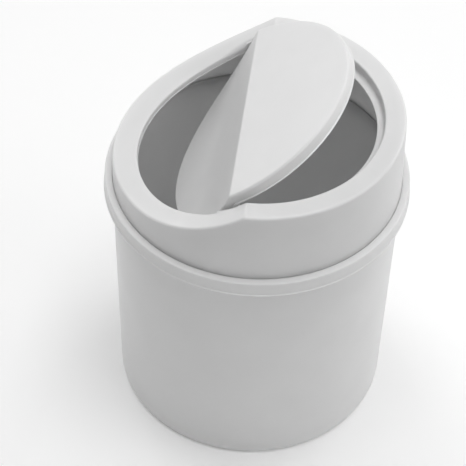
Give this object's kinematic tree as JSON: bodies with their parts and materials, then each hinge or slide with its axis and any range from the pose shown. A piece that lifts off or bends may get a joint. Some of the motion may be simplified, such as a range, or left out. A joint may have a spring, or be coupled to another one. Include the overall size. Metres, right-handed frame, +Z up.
{
  "type": "countertop waste bin",
  "caption": "Round countertop waste bin with a lift-off lid frame and a wave-shaped flap that swings on moulded pins and falls shut by its own weight.",
  "frame": {"origin": "centre of the tub's foot, on the surface that the bin stands on", "axes": "+Z up along the tub's axis; +X towards the high side of the lid, which is the side of the flap that rises when it opens; Y along the lid's ridge and the flap's pivot axis"},
  "size_m": [0.1532, 0.1532, 0.2143],
  "materials": {
    "tub_plastic": "fine satin",
    "frame_plastic": "fine satin",
    "flap_plastic": "fine satin"
  },
  "bodies": {
    "tub": {"bin_body": "tub_plastic"},
    "lid": {"lid_frame": "frame_plastic"},
    "flap": {"swing_flap": "flap_plastic"}
  },
  "joints": [
    {"name": "lid_lift", "type": "slide", "parent": "tub", "child": "lid", "axis": [0, 0, 1], "range_m": [0, 0.05]},
    {"name": "flap_swing", "type": "hinge", "parent": "lid", "child": "flap", "pos_m": [-0.0043, 0, 0.1678], "axis": [0, -1, 0], "range_deg": [-34, 6]}
  ]
}
